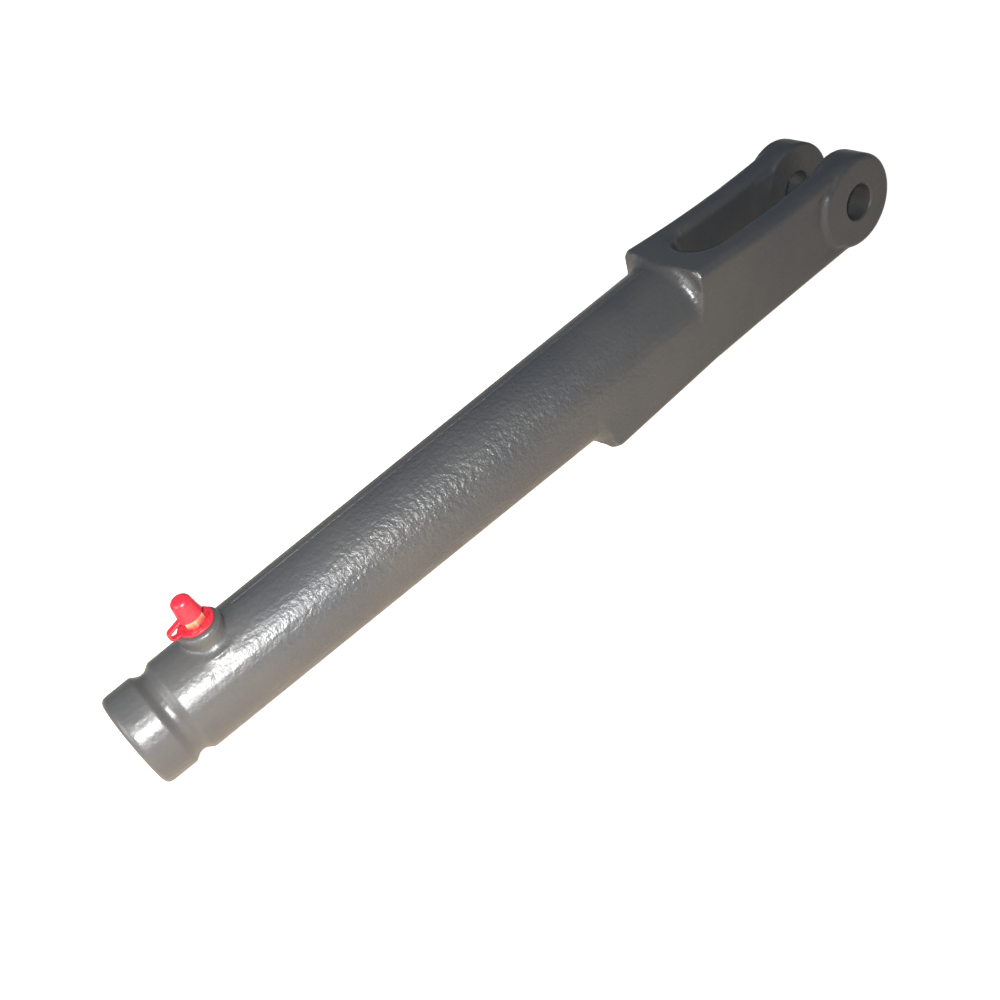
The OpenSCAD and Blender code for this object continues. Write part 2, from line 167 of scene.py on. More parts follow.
# %% The floor
FLOOR_HALF = 3.0
FLOOR_DROP = 0.2 * MM
floor_z = cad_low.z - FLOOR_DROP
floor_mesh = bpy.data.meshes.new("floor")
floor_mesh.from_pydata([(x * FLOOR_HALF, y * FLOOR_HALF, floor_z)
                        for x, y in ((-1, -1), (1, -1), (1, 1), (-1, 1))],
                       [], [(0, 1, 2, 3)])
floor_mesh.materials.append(floor_material)
link(bpy.data.objects.new("floor", floor_mesh))
print("floor at", round(floor_z / MM, 2), "mm")

# %% The room
COOL_ROOM = (0.11, 0.15, 0.19, 1.0)
world = bpy.data.worlds.new("room")
bpy.context.scene.world = world
world.use_nodes = True
tree = world.node_tree
direction = tree.nodes.new("ShaderNodeTexCoord")
parts = tree.nodes.new("ShaderNodeSeparateXYZ")
tree.links.new(direction.outputs["Generated"], parts.inputs[0])
far_end = tree.nodes.new("ShaderNodeMapRange")
far_end.inputs["From Min"].default_value = 0.05
far_end.inputs["From Max"].default_value = 0.20
far_end.inputs["To Min"].default_value = 1.0
far_end.inputs["To Max"].default_value = 0.0
tree.links.new(parts.outputs["Z"], far_end.inputs["Value"])
low_rays = tree.nodes.new("ShaderNodeMath")
low_rays.operation = "MULTIPLY"
tree.links.new(far_end.outputs["Result"], low_rays.inputs[0])
tree.links.new(background_rays(tree), low_rays.inputs[1])
seen = tree.nodes.new("ShaderNodeMath")
seen.operation = "MAXIMUM"
tree.links.new(low_rays.outputs[0], seen.inputs[0])
tree.links.new(tree.nodes.new("ShaderNodeLightPath").outputs["Is Camera Ray"], seen.inputs[1])
colour = tree.nodes.new("ShaderNodeMix")
colour.data_type = "RGBA"
colour.inputs["A"].default_value = COOL_ROOM
colour.inputs["B"].default_value = WHITE
tree.links.new(seen.outputs[0], colour.inputs["Factor"])
tree.links.new(colour.outputs["Result"], tree.nodes["Background"].inputs["Color"])
print("room nodes:", len(tree.nodes))


# %% The lamps
def lamp(name, place, aim, size, watts):
    """A white square lamp at a place, turned towards the point it lights."""
    data = bpy.data.lights.new(name, "AREA")
    data.size = size
    data.energy = watts
    made = link(bpy.data.objects.new(name, data))
    made.location = place
    made.rotation_euler = (Vector(aim) - Vector(place)).to_track_quat("-Z", "Y").to_euler()
    return made


lamp("flash", (-0.46, -0.42, 0.365), aim=(-0.72, 0.0, 0.0), size=0.05, watts=7.8)
lamp("fill", (-0.85, -0.10, 0.32), aim=(-0.40, 0.0, 0.0), size=0.35, watts=2.3)

# %% [markdown]
# ## Helpers for turned and cut shapes
# Most tools that shape this fork are round: drills, counterbores and the lathe
# itself. So one helper turns a profile about an axis, and another adds or
# takes away such a shape with a Boolean modifier. Profiles are lists of
# (radius, height) in millimetres, as they stand on a drawing.

# %% Turned solids
TO_AXIS = {
    "X": Matrix.Rotation(math.radians(90), 4, "Y"),
    "Y": Matrix.Rotation(math.radians(-90), 4, "X"),
    "Z": Matrix.Identity(4),
}


def mesh_object(name, bm):
    """Makes an object from a bmesh, with merged doubles and outward faces."""
    bmesh.ops.remove_doubles(bm, verts=bm.verts, dist=1e-7)
    bmesh.ops.recalc_face_normals(bm, faces=bm.faces)
    mesh = bpy.data.meshes.new(name)
    bm.to_mesh(mesh)
    bm.free()
    return link(bpy.data.objects.new(name, mesh))


def turned(name, profile, place, axis="Z", steps=96, ring=False):
    """Turns a profile about an axis through a place, all in millimetres.
    A plain profile starts and ends on the axis; a ring closes on itself."""
    bm = bmesh.new()
    rows = []
    for radius, height in profile:
        count = 1 if radius == 0 else steps
        rows.append([bm.verts.new((radius * math.cos(2 * math.pi * k / steps),
                                   radius * math.sin(2 * math.pi * k / steps), height))
                     for k in range(count)])
    pairs = list(zip(rows, rows[1:])) + ([(rows[-1], rows[0])] if ring else [])
    for low, high in pairs:
        for k in range(steps):
            corners = [low[k % len(low)], low[(k + 1) % len(low)],
                       high[(k + 1) % len(high)], high[k % len(high)]]
            corners = list(dict.fromkeys(corners))
            if len(corners) > 2:
                bm.faces.new(corners)
    bm.transform(Matrix.Scale(MM, 4) @ Matrix.Translation(place) @ TO_AXIS[axis])
    return mesh_object(name, bm)


def arc(centre, radius, start, end, count=6):
    """Points of a round in a profile, from one angle to another in degrees."""
    angles = [math.radians(start + (end - start) * k / count) for k in range(count + 1)]
    return [(centre[0] + radius * math.cos(a), centre[1] + radius * math.sin(a)) for a in angles]


# %% Applying modifiers
def work_in(obj):
    """Turns the object and its modifiers into one plain mesh."""
    deps = bpy.context.evaluated_depsgraph_get()
    worked = bpy.data.meshes.new_from_object(obj.evaluated_get(deps))
    old = obj.data
    obj.modifiers.clear()
    obj.data = worked
    bpy.data.meshes.remove(old)
    return obj


def combine(obj, tool, operation):
    """Adds or takes away a tool shape, then throws the tool away."""
    modifier = obj.modifiers.new("tool", "BOOLEAN")
    modifier.operation = operation
    modifier.solver = "MANIFOLD"
    modifier.object = tool
    work_in(obj)
    bpy.data.objects.remove(tool)
    return obj


# %% Counting
def triangles(obj):
    """The number of triangles that a mesh's faces make."""
    return sum(len(face.vertices) - 2 for face in obj.data.polygons)


# %% [markdown]
# ## The casting
# A casting has no sharp corners: every edge of the pattern is rounded and
# every inner corner is filled, and the sand leaves its grain on the skin.
# The plain solid of the frame has exact faces, so it is only the start. A copy
# has its drilled holes plugged, because on the real fork they are cut after
# the casting. The plugs are only laid in: a voxel remesh melts all that
# overlaps into one skin. It gives the whole body one even fine grid, and
# one round of smoothing wears its edges and fills its corners a little. The
# bank round the outer face of each eye is set by a formula, because it is
# only 2 mm high and the grid would blur it.

# %% Copy the solid
MOUTH_X = cad_low.x / MM
NIPPLE_X = (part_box("grease_nipple")[0].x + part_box("grease_nipple")[1].x) / 2 / MM
RING_PLAY = 0.1
SEAT_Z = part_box("tether_ring")[0].z / MM - RING_PLAY
EYE_OUT = 30.5
EYE_IN = 12.0

casting = link(bpy.data.objects.new("fork_casting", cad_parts["fork_body"].data.copy()))
merged = bmesh.new()
merged.from_mesh(casting.data)
bmesh.ops.remove_doubles(merged, verts=merged.verts, dist=1e-6)
merged.to_mesh(casting.data)
open_edges = sum(not e.is_manifold for e in merged.edges)
merged.free()
print("open edges in the copy:", open_edges)

# %% The plugs, each wider than its hole and a hair short of its face
SUNK = 0.02
LEAD_IN_R, BORE_PLUG_R, BORE_PLUG_LEN = 16.5, 13.8, 243
NIPPLE_PLUG_R, PIN_PLUG_R = 4, 11.2
plugs = [
    turned("bore_plug", [(0, SUNK), (LEAD_IN_R, SUNK), (LEAD_IN_R, 4), (BORE_PLUG_R, 5),
                         (BORE_PLUG_R, BORE_PLUG_LEN), (0, BORE_PLUG_LEN)],
           (MOUTH_X, 0, 0), "X", 64),
    turned("nipple_plug", [(0, 5), (NIPPLE_PLUG_R, 5), (NIPPLE_PLUG_R, SEAT_Z - SUNK),
                           (0, SEAT_Z - SUNK)],
           (NIPPLE_X, 0, 0), "Z", 48),
]
for side in (1, -1):
    low, high = sorted((side * (EYE_IN + SUNK), side * (EYE_OUT - SUNK)))
    plugs.append(turned("pin_plug", [(0, low), (PIN_PLUG_R, low), (PIN_PLUG_R, high), (0, high)],
                        (0, 0, 0), "Y", 64))
filled = bmesh.new()
for part in [casting, *plugs]:
    filled.from_mesh(part.data)
filled.to_mesh(casting.data)
filled.free()
for plug in plugs:
    bpy.data.objects.remove(plug)
print("with plugs:", len(casting.data.vertices), "points")

# %% Remesh and smooth
VOXEL = 0.8 * MM
remesh = casting.modifiers.new("even grid", "REMESH")
remesh.mode = "VOXEL"
remesh.voxel_size = VOXEL
soften = casting.modifiers.new("cast edges", "SMOOTH")
soften.factor = 0.5
soften.iterations = 1
work_in(casting)
print("casting grid:", len(casting.data.polygons), "faces")


# %% Points as rows of numbers
def read_points(mesh):
    """The points of a mesh as rows of X, Y and Z in millimetres."""
    flat = np.zeros(len(mesh.vertices) * 3)
    mesh.vertices.foreach_get("co", flat)
    return flat.reshape(-1, 3) / MM


def write_points(mesh, rows):
    """Puts rows of millimetres back into a mesh."""
    mesh.vertices.foreach_set("co", (rows * MM).ravel())
    mesh.update()


def smooth_step(value, start, end):
    """0 before start, 1 after end, and an even curve between."""
    part = np.clip((value - start) / (end - start), 0, 1)
    return part * part * (3 - 2 * part)


# %% The bank round the outer eye faces
ARM_OUT, FOOT_OUT = 28.5, 27.8
RIM_R, FOOT_R, BANK_END_R = 24.8, 28.2, 40.0
rows = read_points(casting.data)
radius = np.hypot(rows[:, 0], rows[:, 2])
bank = EYE_OUT - (EYE_OUT - FOOT_OUT) * smooth_step(radius, RIM_R, FOOT_R)
bank += (ARM_OUT - FOOT_OUT) * smooth_step(radius, FOOT_R, BANK_END_R)
away_from_edges = 1 - smooth_step(np.abs(rows[:, 2]), 14.5, 19.0)
on_bank = (np.abs(rows[:, 1]) > 26.0) & (rows[:, 0] < -8) & (radius > 22.0) & (radius < BANK_END_R)
share = away_from_edges * on_bank
rows[:, 1] += share * (np.sign(rows[:, 1]) * bank - rows[:, 1])
write_points(casting.data, rows)
print("bank points:", int(on_bank.sum()))

# %% [markdown]
# ## The skin of the casting
# Sand moulding leaves soft lumps a few millimetres wide. They are real shape,
# so they are made by moving the points of the grid along their normals with
# Geometry Nodes. The barrel is rougher than the arms on this fork, and the
# end beyond the groove was turned smooth, so the amount follows X. Decimate
# thins the grid after that, not before, and only beyond FINE_X: on the smooth
# end of the barrel it would leave long triangles that split the highlight.

# %% Node tree helpers
def new_tree(name, sockets):
    """An empty Geometry Nodes tree with named inputs and a geometry output."""
    made = bpy.data.node_groups.new(name, "GeometryNodeTree")
    made.interface.new_socket("Geometry", in_out="INPUT", socket_type="NodeSocketGeometry")
    for label, kind, value in sockets:
        socket = made.interface.new_socket(label, in_out="INPUT", socket_type=kind)
        if value is not None:
            socket.default_value = value
    made.interface.new_socket("Geometry", in_out="OUTPUT", socket_type="NodeSocketGeometry")
    return made, made.nodes.new("NodeGroupInput"), made.nodes.new("NodeGroupOutput")


def close_tree(made, geometry, output, material_socket):
    """Ends a tree with Realize Instances and Set Material."""
    realize = made.nodes.new("GeometryNodeRealizeInstances")
    paint = made.nodes.new("GeometryNodeSetMaterial")
    made.links.new(geometry, realize.inputs[0])
    made.links.new(realize.outputs[0], paint.inputs["Geometry"])
    made.links.new(material_socket, paint.inputs["Material"])
    made.links.new(paint.outputs[0], output.inputs["Geometry"])


def run_tree(obj, made, values):
    """Adds the tree to an object, sets its inputs by identifier and works it in."""
    modifier = obj.modifiers.new(made.name, "NODES")
    modifier.node_group = made
    for item in made.interface.items_tree:
        if item.item_type == "SOCKET" and item.in_out == "INPUT" and item.name in values:
            modifier[item.identifier] = values[item.name]
    return work_in(obj)


def maths(made, operation, a, b):
    """One Math node; each input is a number or a socket."""
    node = made.nodes.new("ShaderNodeMath")
    node.operation = operation
    for slot, value in zip(node.inputs, (a, b)):
        if isinstance(value, (int, float)):
            slot.default_value = value
        else:
            made.links.new(value, slot)
    return node.outputs[0]


def ramp(made, value, from_low, from_high, to_low, to_high):
    """A smooth Map Range node."""
    node = made.nodes.new("ShaderNodeMapRange")
    node.interpolation_type = "SMOOTHSTEP"
    made.links.new(value, node.inputs["Value"])
    for label, number in (("From Min", from_low), ("From Max", from_high),
                          ("To Min", to_low), ("To Max", to_high)):
        node.inputs[label].default_value = number
    return node.outputs["Result"]


# %% The lumps
paint_material, paint_tree, paint_output = new_material("satin_grey_paint")
skin, inputs, output = new_tree("cast_skin", [
    ("Lump height", "NodeSocketFloat", 0.12 * MM), ("Lump size", "NodeSocketFloat", 9 * MM),
    ("Grain height", "NodeSocketFloat", 0.05 * MM), ("Grain size", "NodeSocketFloat", 3.2 * MM),
    ("Seed", "NodeSocketFloat", 4.0), ("Finish", "NodeSocketMaterial", None)])
place = skin.nodes.new("GeometryNodeInputPosition").outputs[0]
normal = skin.nodes.new("GeometryNodeInputNormal").outputs[0]
split = skin.nodes.new("ShaderNodeSeparateXYZ")
skin.links.new(place, split.inputs[0])
heights = []
for label in ("Lump", "Grain"):
    waves = skin.nodes.new("ShaderNodeTexNoise")
    waves.noise_dimensions = "4D"
    waves.inputs["Detail"].default_value = 2.0
    skin.links.new(inputs.outputs["Seed"], waves.inputs["W"])
    skin.links.new(place, waves.inputs["Vector"])
    scale = maths(skin, "DIVIDE", 1.0, inputs.outputs[label + " size"])
    skin.links.new(scale, waves.inputs["Scale"])
    centred = maths(skin, "SUBTRACT", waves.outputs[0], 0.5)
    heights.append(maths(skin, "MULTIPLY", centred, inputs.outputs[label + " height"]))
height = maths(skin, "ADD", heights[0], heights[1])
rough_barrel = ramp(skin, split.outputs["X"], -0.24, -0.13, 1.0, 0.4)
turned_end = ramp(skin, split.outputs["X"], -0.434, -0.428, 0.3, 1.0)
height = maths(skin, "MULTIPLY", height, maths(skin, "MULTIPLY", rough_barrel, turned_end))
push = skin.nodes.new("ShaderNodeVectorMath")
push.operation = "SCALE"
skin.links.new(normal, push.inputs[0])
skin.links.new(height, push.inputs["Scale"])
move = skin.nodes.new("GeometryNodeSetPosition")
skin.links.new(inputs.outputs["Geometry"], move.inputs["Geometry"])
skin.links.new(push.outputs[0], move.inputs["Offset"])
close_tree(skin, move.outputs[0], output, inputs.outputs["Finish"])
run_tree(casting, skin, {"Finish": paint_material})
print("skin worked in on", len(casting.data.vertices), "points")

# %% Thin the grid and cut the faces flat
# Decimate thins only the points of its vertex group.
FINE_X = -365
THINNED = 165000
group = casting.vertex_groups.new(name="thinned")
beyond = np.flatnonzero(read_points(casting.data)[:, 0] > FINE_X)
group.add(beyond.tolist(), 1.0, "REPLACE")
thin = casting.modifiers.new("thinner grid", "DECIMATE")
thin.vertex_group = group.name
thin.ratio = THINNED / triangles(casting)
work_in(casting)
casting.vertex_groups.clear()
print("thinned to:", triangles(casting), "triangles")
rows = read_points(casting.data)
low, high = np.array(cad_low) / MM, np.array(cad_high) / MM
outside = ((rows < low) | (rows > high)).any(axis=1)
write_points(casting.data, np.clip(rows, low, high))
print("points cut flat at the machined faces:", int(outside.sum()))

# %% [markdown]
# ## Machining
# Only a few places of the casting are cut: the pin hole with its chamfers, the
# seat and the hole for the nipple, and the long tapped bore. They are cut
# after the remesh, so their edges stay crisp. The thread is a 60 degree
# profile that climbs one pitch a turn. Its rows of points follow the helix, so
# a turn's last column joins the row that lies one pitch higher.

# %% The thread cutter
PITCH = 25.4 / 7
MINOR_R = 12.35
MAJOR_R = 14.2
BORE_DEPTH = 230.0
TAP_LEAD = 1


def thread_cutter(name, length, columns=40):
    """A closed screw shape that starts at height 0 and climbs along Z."""
    radii = (MINOR_R, MINOR_R, MAJOR_R, MAJOR_R)
    steps = (0.0, 0.24, 0.56, 0.68)
    turns = int(length / PITCH)
    bm = bmesh.new()
    rows = [[bm.verts.new((r * math.cos(2 * math.pi * k / columns),
                           r * math.sin(2 * math.pi * k / columns),
                           (turn + step + k / columns) * PITCH))
             for k in range(columns)]
            for turn in range(turns + 1) for r, step in zip(radii, steps)]
    last = len(rows) - 4
    for j in range(last - 1):
        for k in range(columns):
            right_low = rows[j][k + 1] if k + 1 < columns else rows[j + 4][0]
            right_high = rows[j + 1][k + 1] if k + 1 < columns else rows[j + 5][0]
            bm.faces.new((rows[j][k], right_low, right_high, rows[j + 1][k]))
    for j, centre_z in ((0, 0.0), (last - 1, (turns + 0.7) * PITCH)):
        edge = rows[j] + [rows[j + i][0] for i in (4, 3, 2, 1)]
        middle = bm.verts.new((0, 0, centre_z))
        for a, b in zip(edge, edge[1:] + edge[:1]):
            bm.faces.new((a, b, middle))
    bmesh.ops.delete(bm, geom=[v for v in bm.verts if not v.link_faces], context="VERTS")
    start = Matrix.Translation((MOUTH_X - TAP_LEAD, 0, 0))
    bm.transform(Matrix.Scale(MM, 4) @ start @ TO_AXIS["X"])
    return mesh_object(name, bm)


# %% Cut the bores
combine(casting, thread_cutter("tap", BORE_DEPTH), "DIFFERENCE")
print("tapped casting:", triangles(casting), "triangles")

# %% Cut the two ends of the bore
countersink = [(0, -2), (MAJOR_R + 3.5, -2), (MAJOR_R + 1.0, 0.4), (MINOR_R, 3.0), (0, 3.0)]
drill_point = [(0, BORE_DEPTH - 3), (MINOR_R, BORE_DEPTH - 3), (MINOR_R, BORE_DEPTH),
               (0, BORE_DEPTH + 7.9)]
for profile in (countersink, drill_point):
    combine(casting, turned("drill", profile, (MOUTH_X, 0, 0), "X", 80), "DIFFERENCE")

# %% Ream the pin holes
PIN_R = 9.65
CHAMFER = 0.8
PAST = 0.5
for side in (1, -1):
    near, far = side * (EYE_IN - PAST), side * (EYE_OUT + PAST)
    cone = CHAMFER + PAST
    span = [(0, near), (PIN_R + cone, near), (PIN_R, near + side * cone),
            (PIN_R, far - side * cone), (PIN_R + cone, far), (0, far)]
    combine(casting, turned("reamer", span, (0, 0, 0), "Y"), "DIFFERENCE")

# %% Face the nipple's seat and drill its hole
spot = [(0, SEAT_Z), (8.4, SEAT_Z), (9.0, SEAT_Z + 0.6), (0, SEAT_Z + 0.6)]
NIPPLE_HOLE_R, HOLE_END_Z = 3.22, 20.0
hole = [(0, HOLE_END_Z), (NIPPLE_HOLE_R, HOLE_END_Z),
        (NIPPLE_HOLE_R, SEAT_Z + 1), (0, SEAT_Z + 1)]
for profile in (spot, hole):
    combine(casting, turned("spot_face", profile, (NIPPLE_X, 0, 0), "Z", 64), "DIFFERENCE")
print("machined casting:", triangles(casting), "triangles")


# %% Smooth shading
def sharpen(obj, degrees):
    """Shades smooth, with hard edges where faces meet more steeply than this."""
    obj.data.shade_smooth()
    obj.data.set_sharp_from_angle(angle=math.radians(degrees))
    return obj


# %% Finish the casting's mesh
bare_material, bare_tree, bare_output = new_material("oiled_thread_steel")
casting.data.materials.clear()
casting.data.materials.append(paint_material)
casting.data.materials.append(bare_material)
centres = np.zeros(len(casting.data.polygons) * 3)
casting.data.polygons.foreach_get("center", centres)
centres = centres.reshape(-1, 3) / MM
in_bore = np.hypot(centres[:, 1], centres[:, 2]) < MAJOR_R + 0.3
in_bore &= (centres[:, 0] > MOUTH_X + 0.2) & (centres[:, 0] < MOUTH_X + 250)
casting.data.polygons.foreach_set("material_index", in_bore.astype(np.int32))
sharpen(casting, 38)
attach(casting, "fork")
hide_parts("fork_body")
print("faces in the bore:", int(in_bore.sum()))

# %% [markdown]
# ## The parting line
# The two halves of the mould met along the barrel, a few millimetres off the
# top, and left a thin ridge that was only half ground away. It follows the
# skin, so a Geometry Nodes tree drops a line of points onto the casting with
# Raycast and sweeps a small section along it.

# %% A tree that drops a ridge onto a surface
ridge, inputs, output = new_tree("mould_ridge", [
    ("Start", "NodeSocketVector", (0, 0, 0)), ("End", "NodeSocketVector", (0, 0, 0)),
    ("Down", "NodeSocketVector", (0, 0, -1)), ("Thickness", "NodeSocketFloat", 0.8 * MM),
    ("Sunk", "NodeSocketFloat", 0.5 * MM), ("Count", "NodeSocketInt", 220),
    ("Casting", "NodeSocketObject", None), ("Finish", "NodeSocketMaterial", None)])
line = ridge.nodes.new("GeometryNodeCurvePrimitiveLine")
ridge.links.new(inputs.outputs["Start"], line.inputs["Start"])
ridge.links.new(inputs.outputs["End"], line.inputs["End"])
points = ridge.nodes.new("GeometryNodeResampleCurve")
ridge.links.new(line.outputs[0], points.inputs["Curve"])
ridge.links.new(inputs.outputs["Count"], points.inputs["Count"])
target = ridge.nodes.new("GeometryNodeObjectInfo")
ridge.links.new(inputs.outputs["Casting"], target.inputs[0])
ray = ridge.nodes.new("GeometryNodeRaycast")
ridge.links.new(target.outputs["Geometry"], ray.inputs["Target Geometry"])
ridge.links.new(inputs.outputs["Down"], ray.inputs["Ray Direction"])
sink = ridge.nodes.new("ShaderNodeVectorMath")
sink.operation = "SCALE"
ridge.links.new(inputs.outputs["Down"], sink.inputs[0])
ridge.links.new(inputs.outputs["Sunk"], sink.inputs["Scale"])
settle = ridge.nodes.new("GeometryNodeSetPosition")
ridge.links.new(points.outputs[0], settle.inputs["Geometry"])
ridge.links.new(ray.outputs["Hit Position"], settle.inputs["Position"])
ridge.links.new(sink.outputs[0], settle.inputs["Offset"])
section = ridge.nodes.new("GeometryNodeCurvePrimitiveCircle")
section.inputs["Resolution"].default_value = 8
ridge.links.new(inputs.outputs["Thickness"], section.inputs["Radius"])
sweep = ridge.nodes.new("GeometryNodeCurveToMesh")
sweep.inputs["Fill Caps"].default_value = True
ridge.links.new(settle.outputs[0], sweep.inputs["Curve"])
ridge.links.new(section.outputs[0], sweep.inputs["Profile Curve"])
close_tree(ridge, sweep.outputs[0], output, inputs.outputs["Finish"])

# %% The two ridges
LINE_Y, CLEAR_Z = 4, 40
for name, z, down, start_x, end_x in (
        ("parting_line_top", CLEAR_Z, (0, 0, -1), NIPPLE_X + 17, -122.5),
        ("parting_line_under", -CLEAR_Z, (0, 0, 1), MOUTH_X + 30, -199)):
    strip = link(bpy.data.objects.new(name, bpy.data.meshes.new(name)))
    run_tree(strip, ridge, {
        "Start": (start_x * MM, LINE_Y * MM, z * MM), "End": (end_x * MM, LINE_Y * MM, z * MM),
        "Down": down, "Casting": casting, "Finish": paint_material})
    sharpen(strip, 60)
    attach(strip, "fork")
    print(name, len(strip.data.polygons), "faces")

# %% [markdown]
# ## The paint
# The fork wears one coat of satin grey paint. Over the sand cast barrel it
# breaks the light into sparks, and over the arms it lies smoother. Two sizes
# of noise make its bump: the sand grain, and over it the fine flow of the coat.
# The colour drifts a little between cool and warm.

# %% Shader helpers
def noise(made, coordinates, scale, detail=3.0, roughness=0.55):
    """A noise texture on the given coordinates."""
    node = made.nodes.new("ShaderNodeTexNoise")
    node.inputs["Scale"].default_value = scale
    node.inputs["Detail"].default_value = detail
    node.inputs["Roughness"].default_value = roughness
    made.links.new(coordinates, node.inputs["Vector"])
    return node.outputs[0]


def blend_colour(made, amount, first, second):
    """Mixes two plain colours by an amount."""
    node = made.nodes.new("ShaderNodeMix")
    node.data_type = "RGBA"
    made.links.new(amount, node.inputs["Factor"])
    node.inputs["A"].default_value = (*first, 1.0)
    node.inputs["B"].default_value = (*second, 1.0)
    return node.outputs["Result"]


def bump(made, height, strength, distance, under=None):
    """A bump, laid over another one if there is one."""
    node = made.nodes.new("ShaderNodeBump")
    node.inputs["Distance"].default_value = distance
    made.links.new(height, node.inputs["Height"])
    if isinstance(strength, (int, float)):
        node.inputs["Strength"].default_value = strength
    else:
        made.links.new(strength, node.inputs["Strength"])
    if under is not None:
        made.links.new(under, node.inputs["Normal"])
    return node.outputs[0]


def shader(made, output, **plain):
    """A Principled shader with its plain values set on its own sockets."""
    node = made.nodes.new("ShaderNodeBsdfPrincipled")
    for label, value in plain.items():
        node.inputs[label.replace("_", " ")].default_value = value
    made.links.new(node.outputs[0], output.inputs["Surface"])
    return node


def object_place(made):
    """The Object coordinates, as one vector and as X, Y and Z."""
    node = made.nodes.new("ShaderNodeTexCoord")
    parts = made.nodes.new("ShaderNodeSeparateXYZ")
    made.links.new(node.outputs["Object"], parts.inputs[0])
    return node.outputs["Object"], parts.outputs


# %% Satin grey paint
where, axes = object_place(paint_tree)
COOL_GREY, WARM_GREY = (0.058, 0.059, 0.062), (0.070, 0.068, 0.066)
ARMS_START, ARMS_FULL = -0.25, -0.12
paint = shader(paint_tree, paint_output, IOR=1.6)
drift = ramp(paint_tree, noise(paint_tree, where, 22, 4.0), 0.35, 0.65, 0.0, 1.0)
paint_tree.links.new(blend_colour(paint_tree, drift, COOL_GREY, WARM_GREY),
                     paint.inputs["Base Color"])
sheen = noise(paint_tree, where, 140, 4.0)
smoother_arms = ramp(paint_tree, axes["X"], ARMS_START, ARMS_FULL, 1.0, 0.78)
gloss = maths(paint_tree, "MULTIPLY", ramp(paint_tree, sheen, 0.3, 0.7, 0.36, 0.45), smoother_arms)
paint_tree.links.new(gloss, paint.inputs["Roughness"])
barrel_part = ramp(paint_tree, axes["X"], ARMS_START, ARMS_FULL, 1.0, 0.3)
end_part = ramp(paint_tree, axes["X"], -0.44, -0.28, 0.22, 1.0)
grain_amount = maths(paint_tree, "MULTIPLY", barrel_part, end_part)
sand = bump(paint_tree, noise(paint_tree, where, 430, 2.0, 0.55), grain_amount, 0.75 * MM)
coat = bump(paint_tree, noise(paint_tree, where, 1100, 2.0), 0.35, 0.06 * MM, sand)
paint_tree.links.new(coat, paint.inputs["Normal"])
print("paint nodes:", len(paint_tree.nodes))

# %% [markdown]
# ## Oiled thread
# The bore is not painted: it is cut steel under a film of dark oil, which is
# why the mouth looks nearly black. A metal shader with a low base colour and a
# little variation in roughness is enough, since only the first turns show.

# %% Oiled thread steel
where, _ = object_place(bare_tree)
steel = shader(bare_tree, bare_output, Metallic=1.0, IOR=2.0)
stain = noise(bare_tree, where, 90, 4.0)
bare_tree.links.new(blend_colour(bare_tree, stain, (0.16, 0.15, 0.14), (0.30, 0.29, 0.28)),
                    steel.inputs["Base Color"])
bare_tree.links.new(ramp(bare_tree, stain, 0.3, 0.7, 0.28, 0.45), steel.inputs["Roughness"])
bare_tree.links.new(bump(bare_tree, noise(bare_tree, where, 900), 0.2, 0.05 * MM),
                    steel.inputs["Normal"])
print("oiled thread nodes:", len(bare_tree.nodes))

# %% [markdown]
# ## The grease nipple
# The nipple is a small steel part with a yellow zinc coat. Its solid in the
# frame already has the real shape, with the turned corners of the hexagon, so
# it stays and only gets its finish. The ball is polished and the spring is
# drawn wire.

# %% Nipple finishes
def metal(name, first, second, rough, grain):
    """A coated metal with a drift of colour and fine marks."""
    made, tree, output = new_material(name)
    where, _ = object_place(tree)
    node = shader(tree, output, Metallic=1.0)
    drift = noise(tree, where, grain, 3.0)
    tree.links.new(blend_colour(tree, drift, first, second), node.inputs["Base Color"])
    tree.links.new(ramp(tree, drift, 0.3, 0.7, rough, rough + 0.12), node.inputs["Roughness"])
    marks = bump(tree, noise(tree, where, grain * 6), 0.15, 0.02 * MM)
    tree.links.new(marks, node.inputs["Normal"])
    return made


finishes = {
    "grease_nipple": metal("yellow_zinc", (0.90, 0.74, 0.46), (0.96, 0.86, 0.62), 0.34, 300),
    "nipple_ball": metal("polished_ball", (0.72, 0.72, 0.74), (0.80, 0.80, 0.82), 0.08, 500),
    "nipple_spring": metal("drawn_wire", (0.50, 0.50, 0.52), (0.60, 0.60, 0.62), 0.25, 700),
}
for node_name, finish in finishes.items():
    for material_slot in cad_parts[node_name].material_slots:
        material_slot.link = "OBJECT"
        material_slot.material = finish
print("finished in place:", sorted(finishes))

# %% [markdown]
# ## The red cap, its strap and its ring
# The cap is moulded in soft red plastic in one piece with a strap and a ring.
# The ring lies under the hexagon and turns with the cap. The plastic lets a
# little light in, so the shader has some subsurface scattering. The cap and
# the ring are turned profiles with small rounds, because moulded edges always
# catch a thin line of light.

# %% Moulded red plastic
red_material, red_tree, red_output = new_material("moulded_red")
where, _ = object_place(red_tree)
red = shader(red_tree, red_output, IOR=1.48, Subsurface_Weight=0.2, Subsurface_Scale=1.0 * MM,
             Subsurface_Radius=(1.0, 0.25, 0.2))
cloud = noise(red_tree, where, 160, 3.0)
red_tree.links.new(blend_colour(red_tree, cloud, (0.50, 0.014, 0.030), (0.62, 0.030, 0.050)),
                   red.inputs["Base Color"])
red_tree.links.new(ramp(red_tree, cloud, 0.3, 0.7, 0.30, 0.40), red.inputs["Roughness"])
red_tree.links.new(bump(red_tree, noise(red_tree, where, 1500, 2.0), 0.12, 0.03 * MM),
                   red.inputs["Normal"])
print("red plastic nodes:", len(red_tree.nodes))


